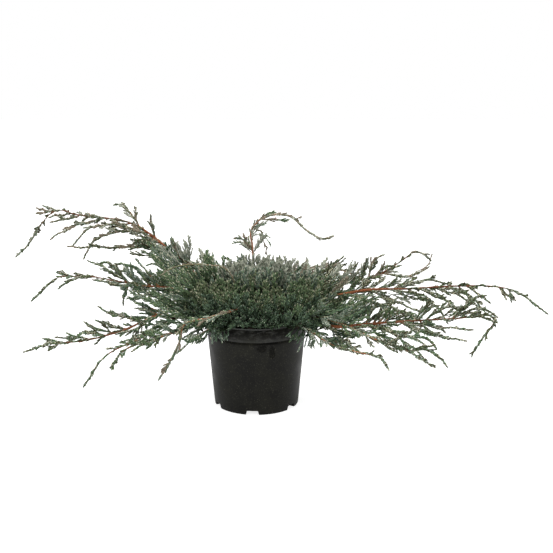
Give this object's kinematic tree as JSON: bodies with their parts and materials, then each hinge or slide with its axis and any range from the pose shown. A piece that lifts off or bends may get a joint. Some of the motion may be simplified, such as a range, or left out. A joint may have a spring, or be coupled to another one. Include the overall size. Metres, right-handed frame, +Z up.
{
  "type": "potted spreading blue juniper",
  "caption": "Low spreading blue-green juniper with long arching cord-like shoots, in a round black nursery pot that stands on its flat underside.",
  "frame": {"origin": "centre of the pot's flat underside", "axes": "+Z up; +X to the right along the widest spread of the shoots; -Y is the front"},
  "size_m": [1.314, 0.7714, 0.453],
  "materials": {
    "pot_plastic": "black injection-moulded plastic, satin, dusty and lightly scuffed",
    "potting_mix": "dark bark-based potting mix, crumbly",
    "old_bark": "grey-brown bark in thin peeling strips",
    "young_bark": "smooth red-brown young bark",
    "blue_needles": "short overlapping needles with a pale waxy blue-grey bloom",
    "green_needles": "dense short needles, grey-green above and dark inside the crown"
  },
  "bodies": {
    "root": {"pot": "pot_plastic", "soil": "potting_mix", "trunk": "old_bark", "bough_left_high": "young_bark", "bough_left_middle": "young_bark", "bough_left_low": "young_bark", "bough_left_fore": "young_bark", "bough_left_near": "young_bark", "bough_front_left": "young_bark", "bough_right_near": "young_bark", "bough_right_fore": "young_bark", "bough_right_low": "young_bark", "bough_right_middle": "young_bark", "bough_right_high": "young_bark", "bough_back_right": "young_bark", "bough_back_far_right": "young_bark", "bough_back_middle": "young_bark", "bough_back_far_left": "young_bark", "bough_back_left": "young_bark", "bough_top": "young_bark", "shoot_left_high": "blue_needles", "shoot_left_middle": "blue_needles", "shoot_left_low": "blue_needles", "shoot_left_fore": "blue_needles", "shoot_left_near": "blue_needles", "shoot_front_left": "blue_needles", "shoot_right_near": "blue_needles", "shoot_right_fore": "blue_needles", "shoot_right_low": "blue_needles", "shoot_right_middle": "blue_needles", "shoot_right_high": "blue_needles", "shoot_back_right": "blue_needles", "shoot_back_far_right": "blue_needles", "shoot_back_middle": "blue_needles", "shoot_back_far_left": "blue_needles", "shoot_back_left": "blue_needles", "shoot_top": "blue_needles", "cushion_right": "green_needles", "cushion_back_right": "green_needles", "cushion_back": "green_needles", "cushion_back_left": "green_needles", "cushion_left": "green_needles", "cushion_front_left": "green_needles", "cushion_front": "green_needles", "cushion_front_right": "green_needles", "cushion_top_right": "green_needles", "cushion_top_left": "green_needles", "cushion_top_front": "green_needles"}
  },
  "joints": []
}
